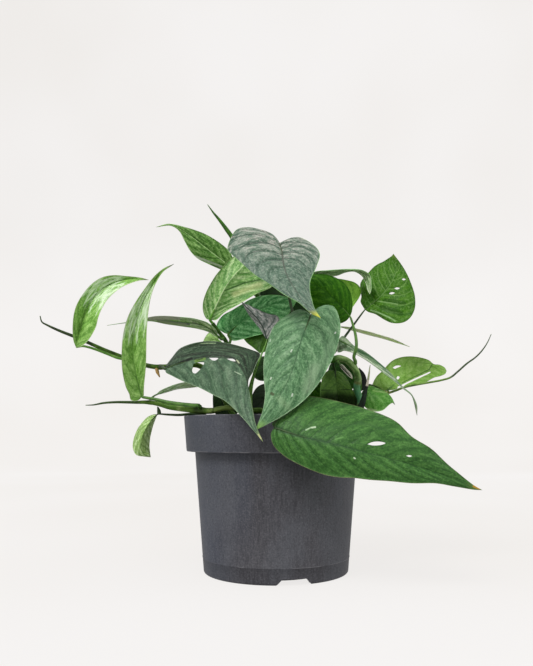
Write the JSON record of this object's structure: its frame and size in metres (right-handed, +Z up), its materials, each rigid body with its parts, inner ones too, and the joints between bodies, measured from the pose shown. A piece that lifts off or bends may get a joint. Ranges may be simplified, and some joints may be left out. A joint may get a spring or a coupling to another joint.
{
  "type": "potted cebu blue pothos",
  "caption": "Climbing aroid house plant with narrow heart-shaped silvery green leaves, rooted in soil in a plain black nursery pot.",
  "frame": {"origin": "centre of the pot's base, on the surface that the pot stands on", "axes": "+Z up along the pot's axis, -Y towards the viewer of the plant's front, +X to the viewer's right, the way the longest stems reach"},
  "size_m": [0.3652, 0.2046, 0.3024],
  "materials": {
    "leaf_silver": "satin, silvery green with fine speckles",
    "leaf_green": "satin, mid green with raised veins",
    "leaf_light": "satin, light yellow green",
    "leaf_dark": "satin, dark green",
    "leaf_purple": "satin, greyish purple underside",
    "stem_green": "satin, olive green",
    "stem_black": "satin, near black with a pale tip",
    "sheath": "dry, papery",
    "soil": "rough peat and bark",
    "pot": "matte dark grey with fine scuffs"
  },
  "bodies": {
    "root": {"leaf_back_centre": "leaf_green", "leaf_back_left": "leaf_green", "leaf_back_low": "leaf_green", "leaf_back_right": "leaf_green", "leaf_back_right_low": "leaf_green", "leaf_back_top": "leaf_silver", "leaf_back_upper_left": "leaf_green", "leaf_centre": "leaf_silver", "leaf_far_left_arched": "leaf_silver", "leaf_front_right": "leaf_green", "leaf_inner_centre": "leaf_dark", "leaf_inner_left": "leaf_dark", "leaf_inner_right": "leaf_dark", "leaf_inner_top": "leaf_dark", "leaf_inner_upper": "leaf_dark", "leaf_left_curled": "leaf_light", "leaf_left_edge_on": "leaf_silver", "leaf_left_holed": "leaf_silver", "leaf_left_middle": "leaf_green", "leaf_left_narrow": "leaf_silver", "leaf_left_upright": "leaf_silver", "leaf_light_small": "leaf_light", "leaf_light_underside": "leaf_light", "leaf_olive_behind": "leaf_dark", "leaf_purple_folded": "leaf_purple", "leaf_right_arching": "leaf_silver", "leaf_right_dark": "leaf_dark", "leaf_right_draped": "leaf_green", "leaf_right_inner": "leaf_dark", "leaf_right_light": "leaf_light", "leaf_right_low": "leaf_green", "leaf_right_slit": "leaf_light", "leaf_right_thin": "leaf_light", "leaf_right_top": "leaf_green", "leaf_top_heart": "leaf_silver", "leaf_top_left": "leaf_green", "old_sheath_dark": "sheath", "old_sheath_pale": "sheath", "pot": "pot", "soil": "soil", "stem_centre": "stem_green", "stem_left_back": "stem_green", "stem_left_lower": "stem_green", "stem_left_upper": "stem_green", "stem_new_shoot": "stem_black", "stem_right_arch": "stem_green", "stem_right_lower": "stem_green"}
  },
  "joints": []
}
